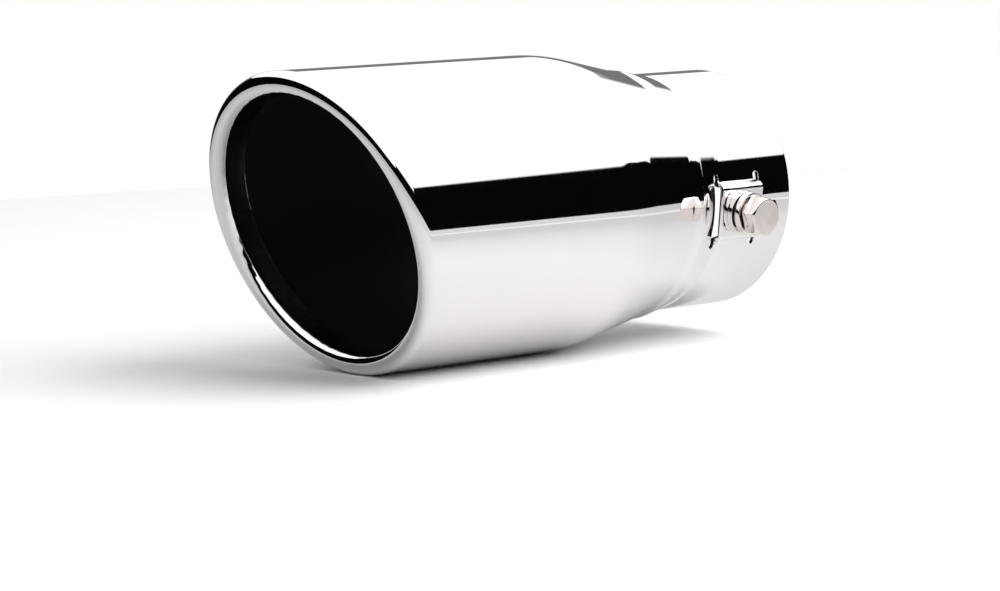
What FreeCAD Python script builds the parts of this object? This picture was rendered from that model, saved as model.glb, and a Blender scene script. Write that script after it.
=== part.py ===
import FreeCAD, Part
import math
import os

# Slip-on exhaust tip in polished stainless sheet: a round body with a slanted, rolled-in mouth
# and a swaged shoulder, butt-welded to a plain inlet sleeve. A strip of the sleeve's wall is lanced
# and pressed out into a flat pad, and a bolt through the pad runs in a nut tacked behind it.
# Millimetres. X runs along the tube from the mouth (-X) to the inlet (+X), and Z is up.
# The origin is the centre of the inlet rim.

# Sheet and tube
wall = 1.2
body_diameter = 80.0
inlet_bore = 63.2
tube_length = 146.3
sleeve_length = 27.9
flare_length = 8.2
collar_length = 2.9
shoulder_length = 26.7
seam_diameter = 68.8
shoulder_bend_radius = 60.0
collar_bend_radius = 18.0
bend_room = 0.95
flare_bend_radius = 6.0
seam_groove = 0.3

# Slanted mouth, measured on the axis, with its long side up
mouth_slant_deg = 17.4
lip_roll_radius = 3.0
lip_return_length = 6.0
lip_tube_length = 14.0

# Pressed-out pad in the sleeve, beside the tube's near side
clamp_from_inlet = 21.6
clamp_below_side_deg = 5.0
pad_width = 16.0
pad_height = 15.4
pad_rise = 2.0
pad_side_deg = 88.0
pad_bend_radius = 0.4
foot_bend_radius = 0.6
slit_width = 1.3
slit_length = 20.2
slit_relief_radius = 1.1

# Clamp bolt, its washers and the nut
thread_diameter = 6.0
bolt_length = 8.0
bolt_tip_chamfer = 0.5
head_across_flats = 10.0
head_height = 4.0
nut_across_flats = 10.0
nut_height = 1.9
hex_chamfer_deg = 30.0
hex_face_share = 0.95
head_turn_deg = 20.0
pad_hole_clearance = 0.3
washer_hole_clearance = 0.2
thread_clearance = 0.05
flat_washer_diameter = 12.0
flat_washer_thickness = 1.6
spring_washer_diameter = 11.8
spring_washer_hole_clearance = 0.1
spring_washer_thickness = 1.6
spring_washer_height = 3.4
spring_washer_gap_deg = 12.0

# Derived places and radii
body_radius = body_diameter / 2
seam_radius = seam_diameter / 2
sleeve_radius = inlet_bore / 2 + wall
thread_radius = thread_diameter / 2
mouth_x = -tube_length
flare_x = -sleeve_length
seam_x = flare_x - flare_length
collar_x = seam_x - collar_length
shoulder_x = collar_x - shoulder_length
lip_end_x = mouth_x + lip_tube_length
pad_face = sleeve_radius + pad_rise
nut_face = pad_face - wall
washer_face = pad_face + flat_washer_thickness
head_face = washer_face + spring_washer_height
window_height = slit_length - 2 * slit_relief_radius

# Overshoot of cutting shapes, and what counts as touching and as parallel
margin = 20.0
touching = 0.01
parallel_share = 0.999
hex_sides = 6

ORIGIN = FreeCAD.Vector(0, 0, 0)
X_AXIS = FreeCAD.Vector(1, 0, 0)
OUTWARD = FreeCAD.Vector(0, -1, 0)


def point(x, radius):
    """A point of a section in the plane of X and Z, or of an upright ring's section."""
    return FreeCAD.Vector(x, 0, radius)


def polygon(points):
    """Closed straight-sided face through the points."""
    return Part.Face(Part.makePolygon(points + [points[0]]))


def revolved(edges):
    """Solid of revolution about the tube's axis of a closed section."""
    return Part.Face(Part.Wire(edges)).revolve(ORIGIN, X_AXIS, 360)


def line(start, end):
    return Part.LineSegment(start, end).toShape()


def bent_path(corners, bends):
    """Path through the corners, with a tangent arc of its own radius at each bend."""
    edges = []
    start = corners[0]
    for corner, following, radius in zip(corners[1:], corners[2:], bends):
        back = (start - corner).normalize()
        ahead = (following - corner).normalize()
        half = back.getAngle(ahead) / 2
        reach = radius / math.tan(half)
        middle = (back + ahead).normalize()
        arc_start = corner + back * reach
        arc_middle = corner + middle * (radius / math.sin(half) - radius)
        arc_end = corner + ahead * reach
        edges.append(line(start, arc_start))
        edges.append(Part.Arc(arc_start, arc_middle, arc_end).toShape())
        start = arc_end
    edges.append(line(start, corners[-1]))
    return edges


def bent_tube(corners, bends):
    """Tube of sheet whose outer face runs through the corners, given from the mouth's side on, with
    an arc at each bend, and whose ends are cut square."""
    runs = [(following - corner).normalize() for corner, following in zip(corners, corners[1:])]
    inside = [corners[0] - point(0, wall / runs[0].x)]
    inside_bends = []
    for corner, before, after, radius in zip(corners[1:], runs, runs[1:], bends):
        outward = point(-before.z - after.z, before.x + after.x)
        inside.append(corner - outward * (wall / (1 + before.dot(after))))
        closing = before.z > after.z
        inside_bends.append(radius - wall if closing else radius + wall)
    inside.append(corners[-1] - point(0, wall / runs[-1].x))
    ends = [line(corners[0], inside[0]), line(corners[-1], inside[-1])]
    section = bent_path(corners, bends) + bent_path(inside, inside_bends) + ends
    return revolved(Part.__sortEdges__(section))


def before_lip_joint():
    """Block that holds all of the front, up to the slanted plane where the lip joins the body."""
    reach = 2 * body_radius
    block = Part.makeBox(
        tube_length, 2 * reach, 2 * reach, FreeCAD.Vector(lip_end_x - tube_length, -reach, -reach))
    block.rotate(FreeCAD.Vector(lip_end_x, 0, 0), FreeCAD.Vector(0, 1, 0), -mouth_slant_deg)
    return block


def rolled_lip():
    """Front of the body: the sheet rolled in through half a turn, with its return flange. One
    section is carried round the slanted mouth and keeps its axial direction."""
    lead = body_radius * math.tan(math.radians(mouth_slant_deg))
    roll_x = mouth_x - lead + lip_roll_radius
    roll_centre = body_radius - lip_roll_radius
    flange_radius = roll_centre - lip_roll_radius
    fold_radius = lip_roll_radius - wall
    flange_x = roll_x + lip_return_length
    back_x = lip_end_x - lead + wall
    outer_roll = Part.Arc(
        point(roll_x, body_radius), point(mouth_x - lead, roll_centre), point(roll_x, flange_radius))
    inner_roll = Part.Arc(
        point(roll_x, flange_radius + wall),
        point(roll_x - fold_radius, roll_centre),
        point(roll_x, body_radius - wall))
    section = Part.Wire([
        line(point(back_x, body_radius), point(roll_x, body_radius)),
        outer_roll.toShape(),
        line(point(roll_x, flange_radius), point(flange_x, flange_radius)),
        line(point(flange_x, flange_radius), point(flange_x, flange_radius + wall)),
        line(point(flange_x, flange_radius + wall), point(roll_x, flange_radius + wall)),
        inner_roll.toShape(),
        line(point(roll_x, body_radius - wall), point(back_x, body_radius - wall)),
        line(point(back_x, body_radius - wall), point(back_x, body_radius)),
    ])
    mouth_edge = Part.Ellipse(
        point(back_x, body_radius), FreeCAD.Vector(back_x + lead, body_radius, 0), point(back_x + lead, 0))
    sweep = Part.BRepOffsetAPI.MakePipeShell(Part.Wire(mouth_edge.toShape()))
    sweep.setBiNormalMode(X_AXIS)
    sweep.add(section)
    sweep.build()
    sweep.makeSolid()
    return sweep.shape().common(before_lip_joint())


def body_tube():
    """Rear of the body: straight tube, shoulder and the short collar at the seam, whose bend stays
    inside the collar when the shoulder is steeper."""
    slope = math.atan2(body_radius - seam_radius, shoulder_length)
    longest_bend = collar_length * bend_room / math.tan(slope / 2)
    tube = bent_tube(
        [point(mouth_x - margin, body_radius), point(shoulder_x, body_radius),
         point(collar_x, seam_radius), point(seam_x, seam_radius)],
        [shoulder_bend_radius, min(collar_bend_radius, longest_bend)])
    return tube.cut(before_lip_joint())


def seam_groove_ring():
    """Fine groove with sides at 45 degrees that the polished butt weld leaves round the seam."""
    base = seam_radius - seam_groove
    top = seam_radius + seam_groove
    half_width = top - base
    return revolved([
        line(point(seam_x, base), point(seam_x + half_width, top)),
        line(point(seam_x + half_width, top), point(seam_x - half_width, top)),
        line(point(seam_x - half_width, top), point(seam_x, base)),
    ])


def make_outer_shell():
    shell = body_tube().fuse(rolled_lip())
    return shell.cut(seam_groove_ring())


def sleeve_tube():
    """Plain tube with its front end opened out to meet the shoulder."""
    return bent_tube(
        [point(seam_x, seam_radius), point(flare_x, sleeve_radius), point(0, sleeve_radius)],
        [flare_bend_radius])


def clamp_box(width, height):
    """Box on the clamp's centre, from inside the sleeve to outside the pad."""
    corner = FreeCAD.Vector(-clamp_from_inlet - width / 2, -pad_face - margin, -height / 2)
    return Part.makeBox(width, pad_face + margin, height, corner)


def clamp_cylinder(radius, inner, outer, x=-clamp_from_inlet, z=0.0):
    """Cylinder along the bolt's direction, between two distances from the tube's axis."""
    return Part.makeCylinder(radius, outer - inner, FreeCAD.Vector(x, -inner, z), OUTWARD)


def pressed_form(inset):
    """Solid below the strip's outer face, or below its inner one when inset by the wall."""
    start_x = -clamp_from_inlet - pad_width / 2
    side = math.radians(pad_side_deg)
    tube_radius = sleeve_radius - inset
    top = pad_face - inset
    half_top = pad_height / 2 - inset * math.tan(side / 2)
    base = tube_radius / 2
    half_base = half_top + (top - base) / math.tan(side)
    ridge = polygon([
        FreeCAD.Vector(start_x, -top, half_top), FreeCAD.Vector(start_x, -base, half_base),
        FreeCAD.Vector(start_x, -base, -half_base), FreeCAD.Vector(start_x, -top, -half_top),
    ]).extrude(X_AXIS * pad_width)
    tube = Part.makeCylinder(tube_radius, pad_width, FreeCAD.Vector(start_x, 0, 0), X_AXIS)
    form = tube.fuse(ridge)
    shoulders = [
        edge for edge in lengthwise_edges(form) if abs(edge.CenterOfMass.y + top) < touching]
    form = form.makeFillet(pad_bend_radius + wall - inset, shoulders)
    feet = [
        edge for edge in lengthwise_edges(form)
        if -top < edge.CenterOfMass.y < -base and abs(edge.CenterOfMass.z) > half_top
        and abs(math.hypot(edge.CenterOfMass.y, edge.CenterOfMass.z) - tube_radius) < touching]
    return form.makeFillet(foot_bend_radius + inset, feet)


def lengthwise_edges(shape):
    """Straight edges of the shape that run along X."""
    found = []
    for edge in shape.Edges:
        if len(edge.Vertexes) == 2:
            run = edge.Vertexes[1].Point - edge.Vertexes[0].Point
            if run.Length > 0 and abs(run.x) / run.Length > parallel_share:
                found.append(edge)
    return found


def pressed_strip():
    """Strip of wall between the slits, pressed out into the flat pad."""
    sheet = pressed_form(0.0).cut(pressed_form(wall))
    return sheet.common(clamp_box(pad_width, window_height))


def slit_reliefs():
    """Round ends of the two slits, each as far out as its slit and partly under the pad's edge."""
    cuts = []
    for side_x in (-1, 1):
        for side_z in (-1, 1):
            x = -clamp_from_inlet + side_x * (pad_width / 2 + slit_width - slit_relief_radius)
            z = side_z * (slit_length / 2 - slit_relief_radius)
            cuts.append(clamp_cylinder(slit_relief_radius, sleeve_radius / 2, pad_face + wall, x, z))
    return cuts


def make_inlet_sleeve():
    """Tube with a window cut in its side, where the pressed strip stands between its two slits."""
    window = clamp_box(pad_width + 2 * slit_width, window_height)
    sleeve = sleeve_tube().cut(seam_groove_ring()).cut(window).fuse(pressed_strip())
    hole = clamp_cylinder(thread_radius + pad_hole_clearance, nut_face - wall, pad_face + wall)
    return turned_up(sleeve.cut(slit_reliefs() + [hole]))


def turned_up(shape):
    """The shape turned about the tube's axis from the level side to the clamp's real place."""
    return shape.rotated(ORIGIN, X_AXIS, clamp_below_side_deg)


def hexagon(across_flats, inner, outer, turn_deg=0.0):
    """Hexagonal prism on the bolt's axis, between two distances from the tube's axis. Its flats face
    the tube's ends, unless it is turned on."""
    corner_radius = across_flats / math.sqrt(3)
    corners = []
    for index in range(hex_sides):
        angle = math.radians((index + 0.5) * 360 / hex_sides + turn_deg)
        corners.append(FreeCAD.Vector(
            -clamp_from_inlet + corner_radius * math.cos(angle), -inner, corner_radius * math.sin(angle)))
    return polygon(corners).extrude(OUTWARD * (outer - inner))


def chamfering_cone(across_flats, face, inward):
    """Cone that turns the corners off a hexagon at the given face; inward is its way into the prism."""
    face_radius = across_flats / 2 * hex_face_share
    depth = across_flats
    base_radius = face_radius + depth / math.tan(math.radians(hex_chamfer_deg))
    start = FreeCAD.Vector(-clamp_from_inlet, -face, 0)
    return Part.makeCone(face_radius, base_radius, depth, start, OUTWARD * inward)


def make_clamp_nut():
    inner = nut_face - nut_height
    nut = hexagon(nut_across_flats, inner, nut_face)
    nut = nut.common(chamfering_cone(nut_across_flats, nut_face, -1))
    nut = nut.common(chamfering_cone(nut_across_flats, inner, 1))
    nut = nut.cut(clamp_cylinder(thread_radius + thread_clearance, inner - wall, nut_face + wall))
    return turned_up(nut)


def make_clamp_bolt():
    head_top = head_face + head_height
    head = hexagon(head_across_flats, head_face, head_top, head_turn_deg)
    head = head.common(chamfering_cone(head_across_flats, head_top, -1))
    tip = head_face - bolt_length
    shank = clamp_cylinder(thread_radius, tip, head_face)
    tip_edges = [edge for edge in shank.Edges if abs(edge.CenterOfMass.y + tip) < touching]
    shank = shank.makeChamfer(bolt_tip_chamfer, tip_edges)
    return turned_up(head.fuse(shank))


def make_flat_washer():
    washer = clamp_cylinder(flat_washer_diameter / 2, pad_face, washer_face)
    hole = clamp_cylinder(thread_radius + washer_hole_clearance, pad_face - wall, washer_face + wall)
    return turned_up(washer.cut(hole))


def make_spring_washer():
    """Split ring whose ends stand apart along the bolt, swept upright along a helix."""
    inner = thread_radius + spring_washer_hole_clearance
    outer = spring_washer_diameter / 2
    turn = 1 - spring_washer_gap_deg / 360
    climb = spring_washer_height - spring_washer_thickness
    helix = Part.makeHelix(climb / turn, climb, (inner + outer) / 2)
    section = Part.makePolygon([
        point(inner, 0), point(outer, 0), point(outer, spring_washer_thickness),
        point(inner, spring_washer_thickness), point(inner, 0)])
    sweep = Part.BRepOffsetAPI.MakePipeShell(Part.Wire(helix))
    sweep.setBiNormalMode(FreeCAD.Vector(0, 0, 1))
    sweep.add(section)
    sweep.build()
    sweep.makeSolid()
    ring = sweep.shape()
    ring.Placement = FreeCAD.Placement(
        FreeCAD.Vector(-clamp_from_inlet, -washer_face, 0),
        FreeCAD.Rotation(FreeCAD.Vector(0, 0, 1), OUTWARD))
    return turned_up(ring)


nodes = {
    "outer_shell": make_outer_shell(),
    "inlet_sleeve": make_inlet_sleeve(),
    "clamp_nut": make_clamp_nut(),
    "flat_washer": make_flat_washer(),
    "spring_washer": make_spring_washer(),
    "clamp_bolt": make_clamp_bolt(),
}

os.makedirs("parts", exist_ok=True)
for name, shape in nodes.items():
    shape.exportStep("parts/" + name + ".step")
    solids = len(shape.Solids)
    box = shape.BoundBox
    print(name, "solids", solids, "valid", shape.isValid(), "volume", round(shape.Volume, 1),
          "x", round(box.XMin, 2), round(box.XMax, 2), "y", round(box.YMin, 2), round(box.YMax, 2),
          "z", round(box.ZMin, 2), round(box.ZMax, 2))
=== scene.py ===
import bpy
import math
from mathutils import Matrix, Vector


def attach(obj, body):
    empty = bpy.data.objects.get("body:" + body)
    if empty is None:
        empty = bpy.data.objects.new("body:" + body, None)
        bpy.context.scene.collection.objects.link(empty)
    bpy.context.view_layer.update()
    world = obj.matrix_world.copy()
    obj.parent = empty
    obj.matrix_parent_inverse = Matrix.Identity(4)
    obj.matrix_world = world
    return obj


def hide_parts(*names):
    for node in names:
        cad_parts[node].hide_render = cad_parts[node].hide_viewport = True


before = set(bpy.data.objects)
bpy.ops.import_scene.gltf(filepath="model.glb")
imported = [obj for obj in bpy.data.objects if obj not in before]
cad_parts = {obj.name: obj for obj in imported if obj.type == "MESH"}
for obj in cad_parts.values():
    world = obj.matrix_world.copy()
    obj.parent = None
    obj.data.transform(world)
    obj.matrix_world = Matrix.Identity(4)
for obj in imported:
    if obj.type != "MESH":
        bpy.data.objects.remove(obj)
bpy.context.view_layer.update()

# Sizes in metres, the same as the solids have
MM = 0.001
WALL = 1.2 * MM
BODY_RADIUS = 40.0 * MM
MOUTH_X = -146.3 * MM
LIP_ROLL = 3.0 * MM
LIP_RETURN = 6.0 * MM
SLANT_DEG = 17.4
SHOULDER_X = -65.7 * MM
SHOULDER_BEND = 60.0 * MM
COLLAR_X = -39.0 * MM
COLLAR_BEND = 18.0 * MM
SEAM_X = -36.1 * MM
SEAM_RADIUS = 34.4 * MM
FLARE_X = -27.9 * MM
FLARE_BEND = 6.0 * MM
SLEEVE_RADIUS = 32.8 * MM
CLAMP_X = -21.6 * MM
CLAMP_BELOW_LEVEL_DEG = 5.0
PAD_WIDTH = 16.0 * MM
PAD_HALF_HEIGHT = 7.7 * MM
PAD_FACE = 34.8 * MM
PAD_SIDE_DEG = 88.0
PAD_BEND = 1.6 * MM
FOOT_BEND = 0.6 * MM
PAD_HOLE_RADIUS = 3.3 * MM
SLIT_WIDTH = 1.3 * MM
SLIT_LENGTH = 20.2 * MM
RELIEF_RADIUS = 1.1 * MM
WASHER_TOP = PAD_FACE + 1.6 * MM
WASHER_RADIUS = 6.0 * MM
WASHER_HOLE_RADIUS = 3.2 * MM
SPRING_RADIUS = 5.9 * MM
SPRING_HOLE_RADIUS = 3.1 * MM
SPRING_THICKNESS = 1.6 * MM
SPRING_HEIGHT = 3.4 * MM
SPRING_TURN_DEG = 348.0
HEAD_FACE = WASHER_TOP + SPRING_HEIGHT
HEAD_HEIGHT = 4.0 * MM
ACROSS_FLATS = 10.0 * MM
HEX_FACE_SHARE = 0.95
HEX_CHAMFER_DEG = 30.0
HEAD_TURN_DEG = 20.0
BOLT_LENGTH = 8.0 * MM
THREAD_RADIUS = 3.0 * MM
THREAD_ROOT_RADIUS = 2.45 * MM
THREAD_PITCH = 1.0 * MM
TIP_CHAMFER = 0.5 * MM
NUT_TOP = PAD_FACE - WALL
NUT_HEIGHT = 1.9 * MM
NUT_BORE_RADIUS = 3.05 * MM
FLOOR_Z = -40.0 * MM

# Axes that sections are bent and spun about
ROUND_SECTION = (0.0, 1.0, 0.0)
ALONG_TUBE = (1.0, 0.0, 0.0)

# Fineness of the round surfaces
AROUND_BODY = 384
AROUND_WINDOW = 36
AROUND_SMALL = 96
AROUND_HOLE = 64
AROUND_RELIEF = 32
SHOULDER_STEPS = 16
COLLAR_STEPS = 8
LIP_STEPS = 40
FLARE_STEPS = 5
FOOT_STEPS = 8
PAD_BEND_STEPS = 12
THREAD_ROWS = 84
# Rows of points beside a bend, which keep the flat sheet flat
SUPPORT = 0.4 * MM
# What counts as the same place, and as the same angle
CLOSE = 0.001 * MM
CLOSE_DEG = 0.01

# Edges rounded in tumbling or polishing
SHELL_EDGE = 0.2 * MM
SLEEVE_EDGE = 0.15 * MM
WASHER_EDGE = 0.18 * MM
HEX_EDGE = 0.12 * MM


# Materials

# The colour inputs and output of a mix node, which also has ones for numbers
FIRST_COLOUR = 6
SECOND_COLOUR = 7
MIXED_COLOUR = 2


def linear(hex_colour):
    """An sRGB hex value as the linear colour that a shader takes."""
    channels = [int(hex_colour[place:place + 2], 16) / 255 for place in (1, 3, 5)]
    return [c / 12.92 if c <= 0.04045 else ((c + 0.055) / 1.055) ** 2.4 for c in channels] + [1.0]


def add_node(tree, kind, inputs=None, stops=(), **settings):
    """Adds a node with its settings, gives each input a value or a link, and a ramp its stops."""
    made = tree.nodes.new(kind)
    for setting, value in settings.items():
        setattr(made, setting, value)
    for name, value in (inputs or {}).items():
        if isinstance(value, bpy.types.NodeSocket):
            tree.links.new(value, made.inputs[name])
        else:
            made.inputs[name].default_value = value
    for number, (place, level) in enumerate(stops):
        points = made.color_ramp.elements
        point = points[number] if number < len(points) else points.new(place)
        point.position = place
        point.color = (level, level, level, 1.0)
    return made


def new_material(name):
    material = bpy.data.materials.new(name)
    material.use_nodes = True
    material.node_tree.nodes.clear()
    return material


def mirror_polished_stainless():
    """304 stainless sheet, buffed on a wheel to a mirror: crisp reflections with a faint haze."""
    material = new_material("mirror_polished_stainless")
    tree = material.node_tree
    place = add_node(tree, "ShaderNodeTexCoord").outputs["Object"]
    # Buffing lines run round the tube, 0.4 mm apart
    lines_at = add_node(tree, "ShaderNodeMapping", {"Vector": place, "Scale": (2500.0, 60.0, 60.0)})
    lines = add_node(
        tree, "ShaderNodeTexNoise", {"Vector": lines_at.outputs["Vector"], "Scale": 1.0, "Detail": 3.0})
    # The wheel leaves the sheet a few microns uneven over 25 mm
    waves = add_node(tree, "ShaderNodeTexNoise", {"Vector": place, "Scale": 40.0, "Detail": 1.0})
    haze = add_node(
        tree, "ShaderNodeMapRange",
        {"Value": lines.outputs["Fac"], "From Min": 0.35, "From Max": 0.7, "To Min": 0.015, "To Max": 0.05})
    wave_bump = add_node(
        tree, "ShaderNodeBump",
        {"Height": waves.outputs["Fac"], "Strength": 0.15, "Distance": 0.04 * MM})
    colour = add_node(
        tree, "ShaderNodeMix",
        {"Factor": waves.outputs["Fac"], FIRST_COLOUR: linear("#F1EEEF"), SECOND_COLOUR: linear("#ECE9EB")},
        data_type="RGBA")
    shader = add_node(
        tree, "ShaderNodeBsdfPrincipled",
        {"Base Color": colour.outputs[MIXED_COLOUR], "Metallic": 1.0,
         "Roughness": haze.outputs["Result"], "Normal": wave_bump.outputs["Normal"]})
    add_node(tree, "ShaderNodeOutputMaterial", {"Surface": shader.outputs["BSDF"]})
    return material


def painted_shade_inside():
    """Back of the sheet, left as rolled, coloured a dull near-black grey: painted shade for the deep shade
    inside the tube.
    """
    material = new_material("painted_shade_inside")
    tree = material.node_tree
    place = add_node(tree, "ShaderNodeTexCoord").outputs["Object"]
    # The painted shade is uneven in spots about 1 mm wide
    grain = add_node(tree, "ShaderNodeTexNoise", {"Vector": place, "Scale": 900.0, "Detail": 4.0})
    colour = add_node(
        tree, "ShaderNodeMix",
        {"Factor": grain.outputs["Fac"], FIRST_COLOUR: linear("#080707"), SECOND_COLOUR: linear("#12100F")},
        data_type="RGBA")
    shader = add_node(
        tree, "ShaderNodeBsdfPrincipled",
        {"Base Color": colour.outputs[MIXED_COLOUR], "Metallic": 0.3, "Roughness": 0.6})
    add_node(tree, "ShaderNodeOutputMaterial", {"Surface": shader.outputs["BSDF"]})
    return material


def worked_steel(name, first, second, dull, bright, grain_mm):
    """Small stainless hardware, bright but not buffed: slightly soft reflections and a fine grain."""
    material = new_material(name)
    tree = material.node_tree
    place = add_node(tree, "ShaderNodeTexCoord").outputs["Object"]
    grain = add_node(
        tree, "ShaderNodeTexNoise", {"Vector": place, "Scale": 1.0 / (grain_mm * MM), "Detail": 4.0})
    # Working the steel leaves its gloss uneven over about 3 mm
    patches = add_node(tree, "ShaderNodeTexNoise", {"Vector": place, "Scale": 300.0, "Detail": 2.0})
    gloss = add_node(
        tree, "ShaderNodeMapRange",
        {"Value": patches.outputs["Fac"], "From Min": 0.3, "From Max": 0.7, "To Min": bright,
         "To Max": dull})
    bump = add_node(
        tree, "ShaderNodeBump", {"Height": grain.outputs["Fac"], "Strength": 0.2, "Distance": 0.02 * MM})
    colour = add_node(
        tree, "ShaderNodeMix",
        {"Factor": patches.outputs["Fac"], FIRST_COLOUR: linear(first), SECOND_COLOUR: linear(second)},
        data_type="RGBA")
    shader = add_node(
        tree, "ShaderNodeBsdfPrincipled",
        {"Base Color": colour.outputs[MIXED_COLOUR], "Metallic": 1.0,
         "Roughness": gloss.outputs["Result"], "Normal": bump.outputs["Normal"]})
    add_node(tree, "ShaderNodeOutputMaterial", {"Surface": shader.outputs["BSDF"]})
    return material


# Drawing sections and turning them into pieces

def deselect_all():
    bpy.ops.object.select_all(action="DESELECT")


def make_active(piece):
    deselect_all()
    piece.select_set(True)
    bpy.context.view_layer.objects.active = piece


def start_section(name, place):
    """A new piece of one point, open for drawing."""
    deselect_all()
    bpy.ops.mesh.primitive_plane_add(size=1.0)
    piece = bpy.context.object
    piece.name = name
    piece.data.name = name
    bpy.ops.object.mode_set(mode="EDIT")
    bpy.ops.mesh.merge(type="CENTER")
    bpy.ops.transform.translate(value=place)
    return piece


def draw(move):
    """Draws a straight run from what is selected."""
    bpy.ops.mesh.extrude_region_move(TRANSFORM_OT_translate={"value": move})


def bend(centre, axis, degrees, steps):
    """Carries what is selected round an axis, by the right-hand rule."""
    bpy.ops.mesh.spin(
        steps=steps, angle=-math.radians(degrees), center=centre, axis=axis, use_auto_merge=False)


def pick(piece, wanted):
    """Selects the points of an open piece that pass the test."""
    bpy.ops.mesh.select_mode(type="VERT")
    bpy.ops.mesh.select_all(action="DESELECT")
    bpy.ops.object.mode_set(mode="OBJECT")
    for vertex in piece.data.vertices:
        vertex.select = wanted(vertex.co)
    bpy.ops.object.mode_set(mode="EDIT")


def close_sheet():
    """Welds what meets, turns the faces outwards and leaves the drawing."""
    bpy.ops.mesh.select_all(action="SELECT")
    bpy.ops.mesh.remove_doubles(threshold=CLOSE)
    bpy.ops.mesh.normals_make_consistent(inside=False)
    bpy.ops.object.mode_set(mode="OBJECT")


def apply_modifier(piece, kind, **settings):
    make_active(piece)
    modifier = piece.modifiers.new(kind.title(), kind)
    for setting, value in settings.items():
        setattr(modifier, setting, value)
    bpy.ops.object.modifier_apply(modifier=modifier.name)


def give_wall(piece):
    """Gives the outer face its sheet thickness, polished outside and dull inside."""
    piece.data.materials.append(polished)
    piece.data.materials.append(inside)
    apply_modifier(
        piece, "SOLIDIFY", thickness=WALL, offset=-1.0, use_even_offset=True, material_offset=1)


def soften_edges(piece, width, degrees=40.0, segments=3):
    """Rounds the edges that a tumbled or polished piece has."""
    apply_modifier(
        piece, "BEVEL", width=width, segments=segments, limit_method="ANGLE",
        angle_limit=math.radians(degrees), use_clamp_overlap=False)


def shade(piece, degrees=35.0):
    make_active(piece)
    bpy.ops.object.shade_smooth_by_angle(angle=math.radians(degrees))


def carve(piece, cutter, operation="DIFFERENCE"):
    apply_modifier(piece, "BOOLEAN", object=cutter, operation=operation, solver="EXACT")
    bpy.data.objects.remove(cutter)


def put_on_bolt_axis(piece, finish):
    """Turns a piece drawn upright about Z so that it stands out of the tube on the bolt's axis."""
    piece.data.materials.clear()
    piece.data.materials.append(finish)
    make_active(piece)
    piece.rotation_euler = (math.radians(90.0 + CLAMP_BELOW_LEVEL_DEG), 0.0, 0.0)
    piece.location = (CLAMP_X, 0.0, 0.0)
    bpy.ops.object.transform_apply(location=True, rotation=True, scale=True)


def hang(piece, body, node):
    """Puts the finished piece on its body, in place of the plain solid."""
    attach(piece, body)
    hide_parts(node)


# The outer shell: one sheet from the seam over the shoulder to the rolled-in mouth

def draw_shell_outline():
    slope = math.atan2(BODY_RADIUS - SEAM_RADIUS, COLLAR_X - SHOULDER_X)
    slope_length = math.hypot(BODY_RADIUS - SEAM_RADIUS, COLLAR_X - SHOULDER_X)
    shoulder_reach = SHOULDER_BEND * math.tan(slope / 2)
    collar_reach = COLLAR_BEND * math.tan(slope / 2)
    along = Vector((-math.cos(slope), 0.0, math.sin(slope)))
    piece = start_section("rolled_mouth_shell", (SEAM_X, 0.0, SEAM_RADIUS))
    collar_start_x = COLLAR_X + collar_reach
    for length in (SUPPORT, SEAM_X - collar_start_x - SUPPORT):
        draw((-length, 0.0, 0.0))
    bend(
        (collar_start_x, 0.0, SEAM_RADIUS + COLLAR_BEND), ROUND_SECTION, math.degrees(slope),
        COLLAR_STEPS)
    straight = slope_length - shoulder_reach - collar_reach - 2 * SUPPORT
    for length in (SUPPORT, straight, SUPPORT):
        draw(along * length)
    shoulder_start_x = SHOULDER_X - shoulder_reach
    bend(
        (shoulder_start_x, 0.0, BODY_RADIUS - SHOULDER_BEND), ROUND_SECTION, -math.degrees(slope),
        SHOULDER_STEPS)
    roll_x = MOUTH_X + LIP_ROLL
    straight = shoulder_start_x - roll_x - 2 * SUPPORT
    for length in (SUPPORT, straight * 0.4, straight * 0.6, SUPPORT):
        draw((-length, 0.0, 0.0))
    bend((roll_x, 0.0, BODY_RADIUS - LIP_ROLL), ROUND_SECTION, -180.0, LIP_STEPS)
    for length in (SUPPORT, LIP_RETURN / 2, LIP_RETURN / 2 - SUPPORT):
        draw((length, 0.0, 0.0))
    return piece


def lean_mouth(piece):
    """Leans the front of the shell with a lattice, so that its mouth lies on the slant. The rolled-in
    sheet is nearer the axis and gets more of the lean, so that the roll stays a round one."""
    straight_start = SHOULDER_X - 15.0 * MM
    straight_end = MOUTH_X + 14.0 * MM
    # The lattice leans too far by this factor, because a weight can't be over 1
    spare = 1.25
    group = piece.vertex_groups.new(name="front")
    for vertex in piece.data.vertices:
        share = (straight_start - vertex.co.x) / (straight_start - straight_end)
        nearness = BODY_RADIUS / math.hypot(vertex.co.y, vertex.co.z)
        group.add([vertex.index], min(max(share, 0.0), 1.0) * nearness / spare, "REPLACE")
    cage_size = 0.4
    deselect_all()
    bpy.ops.object.add(type="LATTICE")
    cage = bpy.context.object
    cage.scale = (cage_size, cage_size, cage_size)
    cage.data.interpolation_type_u = "KEY_LINEAR"
    cage.data.interpolation_type_v = "KEY_LINEAR"
    cage.data.interpolation_type_w = "KEY_LINEAR"
    for point in cage.data.points:
        point.co_deform.x -= spare * math.tan(math.radians(SLANT_DEG)) * point.co_deform.z
    apply_modifier(piece, "LATTICE", object=cage, vertex_group="front")
    bpy.data.objects.remove(cage)
    piece.vertex_groups.clear()


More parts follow.
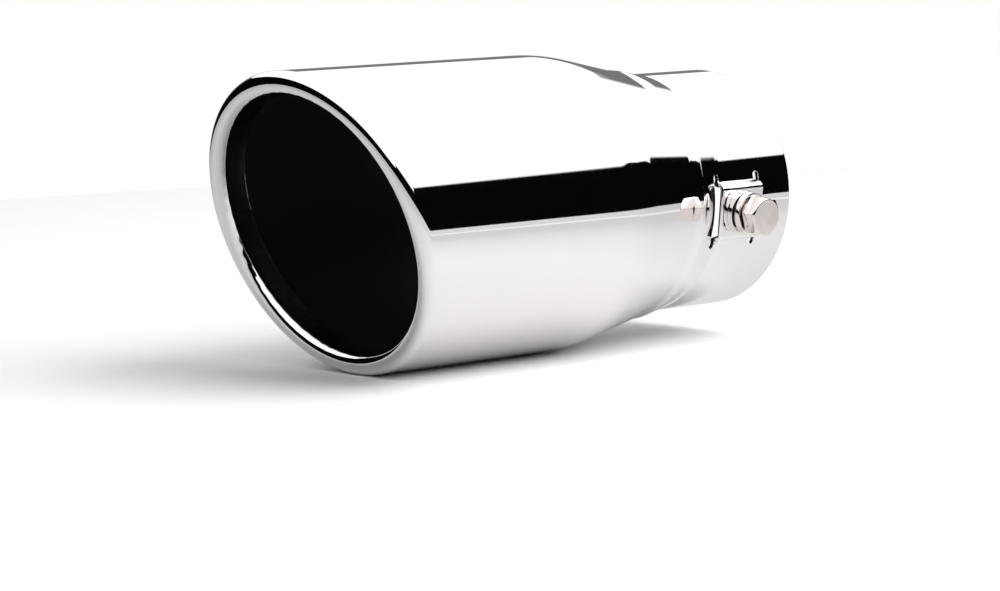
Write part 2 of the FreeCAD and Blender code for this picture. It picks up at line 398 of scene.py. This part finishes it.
def wrinkle_return(piece):
    """Rolling in shortens the sheet's rim, which leaves faint wrinkles 3 to 5 mm apart along it."""
    return_end = MOUTH_X + LIP_ROLL + LIP_RETURN
    height = 0.025 * MM
    # Two trains of waves, so that the wrinkles aren't even
    fine_waves = 61
    coarse_waves = 43
    coarse_share = 0.7
    coarse_start = 1.0
    for vertex in piece.data.vertices:
        radius = math.hypot(vertex.co.y, vertex.co.z)
        rolled = min(max((BODY_RADIUS - LIP_ROLL - radius) / LIP_ROLL, 0.0), 1.0)
        if vertex.co.x < return_end + CLOSE and rolled > 0:
            angle = math.atan2(vertex.co.z, vertex.co.y)
            wave = math.sin(fine_waves * angle)
            wave += coarse_share * math.sin(coarse_waves * angle + coarse_start)
            grown = 1 + height * rolled * wave / radius
            vertex.co.y *= grown
            vertex.co.z *= grown


def make_shell():
    piece = draw_shell_outline()
    bpy.ops.mesh.select_all(action="SELECT")
    bend((0.0, 0.0, 0.0), ALONG_TUBE, 360.0, AROUND_BODY)
    close_sheet()
    wrinkle_return(piece)
    lean_mouth(piece)
    give_wall(piece)
    soften_edges(piece, SHELL_EDGE, degrees=60.0)
    shade(piece)
    return piece


# The inlet sleeve: a tube whose side is slit twice, with the strip between pressed out into a pad

def side_angle_deg(co):
    """Angle of a point up from the level side of the tube."""
    return math.degrees(math.atan2(co.z, -co.y))


def draw_sleeve_outline(edge_deg):
    """The sleeve's outline at one edge of the window, with a point wherever a slit ends."""
    out = Vector((0.0, -math.cos(math.radians(edge_deg)), math.sin(math.radians(edge_deg))))
    slope = math.atan2(SEAM_RADIUS - SLEEVE_RADIUS, FLARE_X - SEAM_X)
    reach = FLARE_BEND * math.tan(slope / 2)
    pad_left = CLAMP_X - PAD_WIDTH / 2
    pad_right = CLAMP_X + PAD_WIDTH / 2
    piece = start_section("pressed_pad_sleeve", Vector((SEAM_X, 0.0, 0.0)) + out * SEAM_RADIUS)
    bend_start = FLARE_X - reach * math.cos(slope)
    x = SEAM_X
    for stop in (SEAM_X + SUPPORT, pad_left - SLIT_WIDTH, pad_left, bend_start - SUPPORT / 2, bend_start):
        draw(Vector((1.0, 0.0, 0.0)) * (stop - x) - out * (stop - x) * math.tan(slope))
        x = stop
    centre = Vector((FLARE_X + reach, 0.0, 0.0)) + out * (SLEEVE_RADIUS + FLARE_BEND)
    bend(centre, Vector((1.0, 0.0, 0.0)).cross(out), math.degrees(slope), FLARE_STEPS)
    x = FLARE_X + reach
    beside_hole = 2 * MM
    level_stops = (
        x + SUPPORT, CLAMP_X - beside_hole, CLAMP_X + beside_hole, pad_right, pad_right + SLIT_WIDTH,
        pad_right / 2, -SUPPORT, 0.0)
    for stop in level_stops:
        draw((stop - x, 0.0, 0.0))
        x = stop
    return piece


def press_strip_out():
    """Carries the strip's lower end up over the pad: foot, side, bend, flat, and down again."""
    side = math.radians(PAD_SIDE_DEG)
    tube = SLEEVE_RADIUS + FOOT_BEND
    start_out = PAD_FACE + FOOT_BEND * math.cos(side)
    start_up = PAD_HALF_HEIGHT + FOOT_BEND * math.sin(side)
    lean = start_out * math.sin(side) - start_up * math.cos(side)
    side_length = lean - math.sqrt(lean ** 2 - (start_out ** 2 + start_up ** 2 - tube ** 2))
    foot_out = start_out - side_length * math.sin(side)
    foot_up = start_up + side_length * math.cos(side)
    foot_deg = math.degrees(math.atan2(foot_up, foot_out))
    edge_deg = window_edge_deg()
    tangent = PAD_BEND * math.tan(side / 2)
    run = side_length - tangent
    rise = run * math.sin(side)
    drift = run * math.cos(side)
    crown_up = PAD_HALF_HEIGHT - tangent
    crown_out = PAD_FACE - PAD_BEND
    bend((0.0, 0.0, 0.0), ALONG_TUBE, foot_deg - edge_deg, 1)
    bend((0.0, -foot_out, -foot_up), ALONG_TUBE, PAD_SIDE_DEG - foot_deg, FOOT_STEPS)
    draw((0.0, -rise, drift))
    bend((0.0, -crown_out, -crown_up), ALONG_TUBE, -PAD_SIDE_DEG, PAD_BEND_STEPS)
    for share in (0.1, 0.4, 0.4, 0.1):
        draw((0.0, 0.0, 2 * crown_up * share))
    bend((0.0, -crown_out, crown_up), ALONG_TUBE, -PAD_SIDE_DEG, PAD_BEND_STEPS)
    draw((0.0, rise, drift))
    bend((0.0, -foot_out, foot_up), ALONG_TUBE, PAD_SIDE_DEG - foot_deg, FOOT_STEPS)
    bend((0.0, 0.0, 0.0), ALONG_TUBE, foot_deg - edge_deg, 1)


def window_edge_deg():
    return math.degrees(math.asin((SLIT_LENGTH / 2 - RELIEF_RADIUS) / SLEEVE_RADIUS))


def flatten_pad(piece):
    """Takes the flare out of the pad's near end, which the press leaves flat."""
    pad_reach_deg = 15.5
    slope = math.atan2(SEAM_RADIUS - SLEEVE_RADIUS, FLARE_X - SEAM_X)
    pad_left = CLAMP_X - PAD_WIDTH / 2
    for vertex in piece.data.vertices:
        over = (FLARE_X - vertex.co.x) * math.tan(slope)
        on_pad = abs(side_angle_deg(vertex.co)) < pad_reach_deg
        if over > 0 and on_pad and pad_left - CLOSE < vertex.co.x < CLAMP_X:
            share = min(max((-vertex.co.y - SLEEVE_RADIUS) / (PAD_FACE - SLEEVE_RADIUS), 0.0), 1.0)
            vertex.co.y += over * share


def make_sleeve():
    edge_deg = window_edge_deg()
    pad_left = CLAMP_X - PAD_WIDTH / 2
    pad_right = CLAMP_X + PAD_WIDTH / 2
    cutter_depth = 12 * MM
    piece = draw_sleeve_outline(edge_deg)
    bpy.ops.mesh.select_all(action="SELECT")
    bend((0.0, 0.0, 0.0), ALONG_TUBE, -(360.0 - 2 * edge_deg), AROUND_BODY - AROUND_WINDOW)

    def at_lower_edge(co):
        return abs(side_angle_deg(co) + edge_deg) < CLOSE_DEG

    pick(piece, lambda co: at_lower_edge(co) and co.x < pad_left - SLIT_WIDTH + CLOSE)
    bend((0.0, 0.0, 0.0), ALONG_TUBE, -2 * edge_deg, AROUND_WINDOW)
    pick(piece, lambda co: at_lower_edge(co) and co.x > pad_right + SLIT_WIDTH - CLOSE)
    bend((0.0, 0.0, 0.0), ALONG_TUBE, -2 * edge_deg, AROUND_WINDOW)
    pick(piece, lambda co: at_lower_edge(co) and pad_left - CLOSE < co.x < pad_right + CLOSE)
    press_strip_out()
    close_sheet()
    flatten_pad(piece)
    give_wall(piece)
    for side_x in (-1.0, 1.0):
        for side_z in (-1.0, 1.0):
            bpy.ops.mesh.primitive_cylinder_add(
                vertices=AROUND_RELIEF, radius=RELIEF_RADIUS, depth=cutter_depth,
                location=(
                    CLAMP_X + side_x * (PAD_WIDTH / 2 + SLIT_WIDTH - RELIEF_RADIUS), -SLEEVE_RADIUS,
                    side_z * (SLIT_LENGTH / 2 - RELIEF_RADIUS)),
                rotation=(math.radians(90.0), 0.0, 0.0))
            carve(piece, bpy.context.object)
    bpy.ops.mesh.primitive_cylinder_add(
        vertices=AROUND_HOLE, radius=PAD_HOLE_RADIUS, depth=cutter_depth,
        location=(CLAMP_X, -PAD_FACE, 0.0), rotation=(math.radians(90.0), 0.0, 0.0))
    carve(piece, bpy.context.object)
    soften_edges(piece, SLEEVE_EDGE, degrees=50.0, segments=2)
    shade(piece)
    make_active(piece)
    piece.rotation_euler = (math.radians(CLAMP_BELOW_LEVEL_DEG), 0.0, 0.0)
    bpy.ops.object.transform_apply(location=True, rotation=True, scale=True)
    return piece


# The clamp's hardware, drawn upright about Z with heights measured from the tube's axis

def spun_ring(name, inner, outer, low, high):
    piece = start_section(name, (inner, 0.0, low))
    draw((outer - inner, 0.0, 0.0))
    draw((0.0, 0.0, high - low))
    draw((inner - outer, 0.0, 0.0))
    draw((0.0, 0.0, low - high))
    bpy.ops.mesh.select_all(action="SELECT")
    bend((0.0, 0.0, 0.0), (0.0, 0.0, 1.0), 360.0, AROUND_SMALL)
    close_sheet()
    return piece


def make_flat_washer():
    piece = spun_ring("punched_washer", WASHER_HOLE_RADIUS, WASHER_RADIUS, PAD_FACE, WASHER_TOP)
    soften_edges(piece, WASHER_EDGE)
    shade(piece)
    put_on_bolt_axis(piece, punched)
    return piece


def make_spring_washer():
    """A split ring wound from square wire, with cut ends that stand apart."""
    climb = SPRING_HEIGHT - SPRING_THICKNESS
    piece = start_section("split_washer", (SPRING_HOLE_RADIUS, 0.0, WASHER_TOP))
    draw((SPRING_RADIUS - SPRING_HOLE_RADIUS, 0.0, 0.0))
    draw((0.0, 0.0, SPRING_THICKNESS))
    draw((SPRING_HOLE_RADIUS - SPRING_RADIUS, 0.0, 0.0))
    draw((0.0, 0.0, -SPRING_THICKNESS))
    bpy.ops.mesh.select_all(action="SELECT")
    bpy.ops.mesh.remove_doubles(threshold=CLOSE)
    bpy.ops.object.mode_set(mode="OBJECT")
    apply_modifier(
        piece, "SCREW", angle=math.radians(SPRING_TURN_DEG), screw_offset=climb, axis="Z",
        steps=AROUND_SMALL, render_steps=AROUND_SMALL, use_merge_vertices=False)
    bpy.ops.object.mode_set(mode="EDIT")
    bpy.ops.mesh.select_all(action="DESELECT")
    bpy.ops.mesh.select_non_manifold()
    bpy.ops.mesh.fill_holes(sides=4)
    close_sheet()
    soften_edges(piece, WASHER_EDGE)
    shade(piece)
    put_on_bolt_axis(piece, wound)
    return piece


def hexagon(name, low, high, turn_deg=0.0):
    bpy.ops.mesh.primitive_cylinder_add(
        vertices=6, radius=ACROSS_FLATS / math.sqrt(3), depth=high - low,
        location=(0.0, 0.0, (low + high) / 2), rotation=(0.0, 0.0, math.radians(turn_deg)))
    piece = bpy.context.object
    piece.name = name
    piece.data.name = name
    bpy.ops.object.transform_apply(location=True, rotation=True, scale=True)
    return piece


def turn_corners(piece, face, upward):
    """Turns the corners off one end of a hexagon, as a chamfering tool does."""
    small = ACROSS_FLATS / 2 * HEX_FACE_SHARE
    depth = ACROSS_FLATS
    large = small + depth / math.tan(math.radians(HEX_CHAMFER_DEG))
    deselect_all()
    bpy.ops.mesh.primitive_cone_add(
        vertices=2 * AROUND_SMALL, radius1=large if upward else small,
        radius2=small if upward else large, depth=depth,
        location=(0.0, 0.0, face - depth / 2 if upward else face + depth / 2))
    carve(piece, bpy.context.object, "INTERSECT")


def make_nut():
    deselect_all()
    piece = hexagon("clamp_hex_nut", NUT_TOP - NUT_HEIGHT, NUT_TOP)
    turn_corners(piece, NUT_TOP, True)
    turn_corners(piece, NUT_TOP - NUT_HEIGHT, False)
    bore = spun_ring("bore", 0.0, NUT_BORE_RADIUS, NUT_TOP - 2 * NUT_HEIGHT, NUT_TOP + NUT_HEIGHT)
    carve(piece, bore)
    soften_edges(piece, HEX_EDGE, degrees=30.0, segments=2)
    shade(piece)
    put_on_bolt_axis(piece, plain_nut)
    return piece


def make_threaded_shank():
    """Shank with a rolled thread: rows of points carried in and out along the helix."""
    # A zigzag cut off on both sides, which leaves flats 0.12 mm wide on crests and roots
    flank_slope = 1.3
    flank_drop = 0.15
    tip = HEAD_FACE - BOLT_LENGTH
    inside_head = 0.4 * MM
    step = (BOLT_LENGTH + inside_head) / THREAD_ROWS
    piece = start_section("shank", (THREAD_RADIUS, 0.0, tip))
    for row in range(THREAD_ROWS):
        draw((0.0, 0.0, step))
    bpy.ops.mesh.select_all(action="SELECT")
    bend((0.0, 0.0, 0.0), (0.0, 0.0, 1.0), 360.0, AROUND_SMALL)
    bpy.ops.mesh.select_all(action="SELECT")
    bpy.ops.mesh.remove_doubles(threshold=CLOSE)
    bpy.ops.mesh.select_all(action="DESELECT")
    bpy.ops.mesh.select_non_manifold()
    bpy.ops.mesh.fill_holes(sides=0)
    close_sheet()
    depth = THREAD_RADIUS - THREAD_ROOT_RADIUS
    for vertex in piece.data.vertices:
        up = vertex.co.z - tip
        turns = up / THREAD_PITCH - math.atan2(vertex.co.y, vertex.co.x) / math.tau
        flank = abs(2 * (turns % 1.0) - 1.0)
        rise = min(max(flank_slope * flank - flank_drop, 0.0), 1.0)
        radius = THREAD_ROOT_RADIUS + depth * rise
        radius = min(radius, THREAD_RADIUS - TIP_CHAMFER + up)
        vertex.co.x *= radius / THREAD_RADIUS
        vertex.co.y *= radius / THREAD_RADIUS
    return piece


def make_bolt():
    deselect_all()
    piece = hexagon("clamp_hex_bolt", HEAD_FACE, HEAD_FACE + HEAD_HEIGHT, HEAD_TURN_DEG)
    turn_corners(piece, HEAD_FACE + HEAD_HEIGHT, True)
    soften_edges(piece, HEX_EDGE, degrees=20.0, segments=2)
    carve(piece, make_threaded_shank(), "UNION")
    shade(piece)
    put_on_bolt_axis(piece, headed)
    return piece


polished = mirror_polished_stainless()
# The inside's near-black colour is painted shade for the deep shade in the tube
inside = painted_shade_inside()
# Heading dies leave the bolt a warm and slightly soft shine
headed = worked_steel(
    "cold_headed_stainless", "#E9E2DE", "#DBD2CD", dull=0.17, bright=0.1, grain_mm=0.5)
# Punched sheet keeps most of its mill gloss
punched = worked_steel(
    "punched_stainless", "#E6E2E0", "#DAD6D3", dull=0.16, bright=0.08, grain_mm=0.4)
# Drawn wire is the brightest of the hardware
wound = worked_steel(
    "wound_spring_stainless", "#ECE9E7", "#DEDAD7", dull=0.14, bright=0.07, grain_mm=0.4)
# The nut is left as turned, which is greyer and duller
plain_nut = worked_steel(
    "plain_turned_stainless", "#B7B2AE", "#A39E9A", dull=0.4, bright=0.28, grain_mm=0.5)

hang(make_shell(), "tip", "outer_shell")
hang(make_sleeve(), "tip", "inlet_sleeve")
hang(make_nut(), "tip", "clamp_nut")
hang(make_flat_washer(), "washers", "flat_washer")
hang(make_spring_washer(), "washers", "spring_washer")
hang(make_bolt(), "bolt", "clamp_bolt")


# The studio: a white table in a dark room, under a wide white ceiling and a soft lamp

# Level ways from the tip: away from the photograph's camera, and to that camera's left
BEHIND = Vector((0.7104, 0.7038, 0.0))
LEFTWARD = Vector((-0.7038, 0.7104, 0.0))
TABLE_CENTRE = (0.03, -0.12)
TABLE_RADIUS = 0.556
TABLE_FACETS = 128
TIP_FROM_TABLE_CENTRE = (-0.12, 0.09, 0.0)
TABLE_SEEN = 1.25
LAMP_SIZE = 0.8
LAMP_WATTS = 5.6
LAMP_PLACE = (0.22, -0.5, 0.65)
LAMP_AIM = Vector((-0.07, 0.0, 0.0))
CEILING_MIRRORED = 1.25
CEILING_ON_DULL = 0.56
CEILING_EDGE_BLUR = 0.008
DARK_ROOM = 0.002
GREY_WALL = 0.2


def lay_floor():
    deselect_all()
    bpy.ops.mesh.primitive_circle_add(
        vertices=TABLE_FACETS, radius=TABLE_RADIUS, fill_type="NGON", location=(*TABLE_CENTRE, FLOOR_Z))
    floor = bpy.context.object
    floor.name = "floor"
    material = new_material("matt_white_paper")
    tree = material.node_tree
    place = add_node(tree, "ShaderNodeTexCoord").outputs["Object"]
    from_tip = add_node(
        tree, "ShaderNodeVectorMath", {0: place, 1: TIP_FROM_TABLE_CENTRE}, operation="DISTANCE")
    # Painted light on the floor, by metres from the tip and seen only by rays other than the camera's:
    # white round the tip, painted shade growing darker further out as a lamp's falloff, and a thin painted
    # highlight ring near the table's edge
    painted_falloff = add_node(
        tree, "ShaderNodeValToRGB", {"Fac": from_tip.outputs["Value"]},
        stops=((0.0, 1.0), (0.07, 1.0), (0.13, 0.9), (0.24, 0.68), (0.345, 0.62), (0.36, 0.85),
               (0.4, 0.85), (0.415, 0.62)))
    seen = add_node(tree, "ShaderNodeLightPath").outputs["Is Camera Ray"]
    white = add_node(
        tree, "ShaderNodeMapRange",
        {"Value": seen, "To Min": painted_falloff.outputs["Color"], "To Max": TABLE_SEEN})
    matt = add_node(tree, "ShaderNodeBsdfDiffuse", {"Color": white.outputs["Result"]})
    add_node(tree, "ShaderNodeOutputMaterial", {"Surface": matt.outputs["BSDF"]})
    floor.data.materials.append(material)


def hang_lamp():
    """A wide soft lamp over the right of the table's front, which keeps the tip's shadow narrow."""
    data = bpy.data.lights.new("soft_lamp", "AREA")
    data.size = LAMP_SIZE
    data.energy = LAMP_WATTS
    lamp = bpy.data.objects.new("soft_lamp", data)
    lamp.location = LAMP_PLACE
    lamp.rotation_euler = (LAMP_AIM - lamp.location).to_track_quat("-Z", "Y").to_euler()
    bpy.context.scene.collection.objects.link(lamp)


def light_studio():
    """A white ceiling over a dark room, with a grey wall behind. The ceiling's edge isn't level."""
    world = bpy.data.worlds.new("studio")
    bpy.context.scene.world = world
    world.use_nodes = True
    tree = world.node_tree
    tree.nodes.clear()
    way = add_node(tree, "ShaderNodeTexCoord").outputs["Generated"]
    up = add_node(tree, "ShaderNodeSeparateXYZ", {"Vector": way}).outputs["Z"]
    leftward = add_node(
        tree, "ShaderNodeVectorMath", {0: way, 1: LEFTWARD}, operation="DOT_PRODUCT").outputs["Value"]
    backward = add_node(
        tree, "ShaderNodeVectorMath", {0: way, 1: BEHIND}, operation="DOT_PRODUCT").outputs["Value"]
    across = add_node(tree, "ShaderNodeMapRange", {"Value": leftward, "From Min": -1.0, "From Max": 1.0})
    # Height of the ceiling's edge, from the far right of the room to its far left
    edge = add_node(
        tree, "ShaderNodeValToRGB", {"Fac": across.outputs["Result"]},
        stops=((0.0, 0.347), (0.032, 0.343), (0.036, 0.349), (0.04, 0.35), (0.045, 0.318), (0.055, 0.3),
               (0.067, 0.28), (0.0745, 0.247), (0.0835, 0.27), (0.09, 0.274), (0.35, 0.345),
               (0.37, 0.338), (0.395, 0.309), (0.425, 0.242), (0.5, 0.203), (0.6, 0.205),
               (0.975, 0.575)))
    low_edge = add_node(
        tree, "ShaderNodeMath", {0: edge.outputs["Color"], 1: CEILING_EDGE_BLUR}, operation="SUBTRACT")
    high_edge = add_node(
        tree, "ShaderNodeMath", {0: edge.outputs["Color"], 1: CEILING_EDGE_BLUR}, operation="ADD")
    ceiling = add_node(
        tree, "ShaderNodeMapRange",
        {"Value": up, "From Min": low_edge.outputs["Value"], "From Max": high_edge.outputs["Value"]},
        interpolation_type="SMOOTHSTEP")
    wall = add_node(
        tree, "ShaderNodeValToRGB", {"Fac": across.outputs["Result"]},
        stops=((0.0, 0.0), (0.22, 0.0), (0.27, 1.0), (0.675, 1.0), (0.75, 0.0)))
    faced = add_node(tree, "ShaderNodeMapRange", {"Value": backward, "From Min": 0.0, "From Max": 0.3})
    grey_wall = add_node(
        tree, "ShaderNodeMath", {0: wall.outputs["Color"], 1: faced.outputs["Result"]},
        operation="MULTIPLY")
    room = add_node(
        tree, "ShaderNodeMapRange",
        {"Value": grey_wall.outputs["Value"], "To Min": DARK_ROOM, "To Max": GREY_WALL})
    rays = add_node(tree, "ShaderNodeLightPath").outputs
    # Dull surfaces get about half of their light from the lamp, and polished ones mirror a white ceiling
    ceiling_level = add_node(
        tree, "ShaderNodeMapRange",
        {"Value": rays["Is Diffuse Ray"], "To Min": CEILING_MIRRORED, "To Max": CEILING_ON_DULL})
    level = add_node(
        tree, "ShaderNodeMapRange",
        {"Value": ceiling.outputs["Result"], "To Min": room.outputs["Result"],
         "To Max": ceiling_level.outputs["Result"]})
    strength = add_node(
        tree, "ShaderNodeMapRange",
        {"Value": rays["Is Camera Ray"], "To Min": level.outputs["Result"], "To Max": 1.0})
    light = add_node(
        tree, "ShaderNodeBackground",
        {"Color": (1.0, 1.0, 1.0, 1.0), "Strength": strength.outputs["Result"]})
    add_node(tree, "ShaderNodeOutputWorld", {"Surface": light.outputs["Background"]})


def place_camera():
    """Camera of the photograph: low on the mouth's side, with a long lens."""
    distance = 1.0635
    focal_px = 3951.0
    frame_px = 1000.0
    # The point that the camera was fitted round, and its pixels right of and above the frame's middle
    aim = Vector((-66.5 * MM, 0.0, 0.0))
    aim_right_px = 34.4
    aim_up_px = 92.1
    turn = math.radians(45.26)
    tilt = math.radians(5.70)
    back = Vector((-math.sin(turn) * math.cos(tilt), -math.cos(turn) * math.cos(tilt), math.sin(tilt)))
    right = (-back).cross(Vector((0.0, 0.0, 1.0))).normalized()
    up = right.cross(-back)
    forward = (-back * focal_px - right * aim_right_px - up * aim_up_px).normalized()
    right = forward.cross(up).normalized()
    up = right.cross(forward)
    data = bpy.data.cameras.new("camera")
    data.sensor_width = 36.0
    data.lens = focal_px / frame_px * data.sensor_width
    data.clip_start = 0.05
    data.clip_end = 20.0
    camera = bpy.data.objects.new("camera", data)
    bpy.context.scene.collection.objects.link(camera)
    camera.matrix_world = Matrix.Translation(aim + back * distance) @ Matrix((
        (right.x, up.x, -forward.x, 0.0), (right.y, up.y, -forward.y, 0.0),
        (right.z, up.z, -forward.z, 0.0), (0.0, 0.0, 0.0, 1.0)))
    bpy.context.scene.camera = camera


lay_floor()
hang_lamp()
light_studio()
place_camera()
bpy.context.scene.view_settings.view_transform = "Standard"
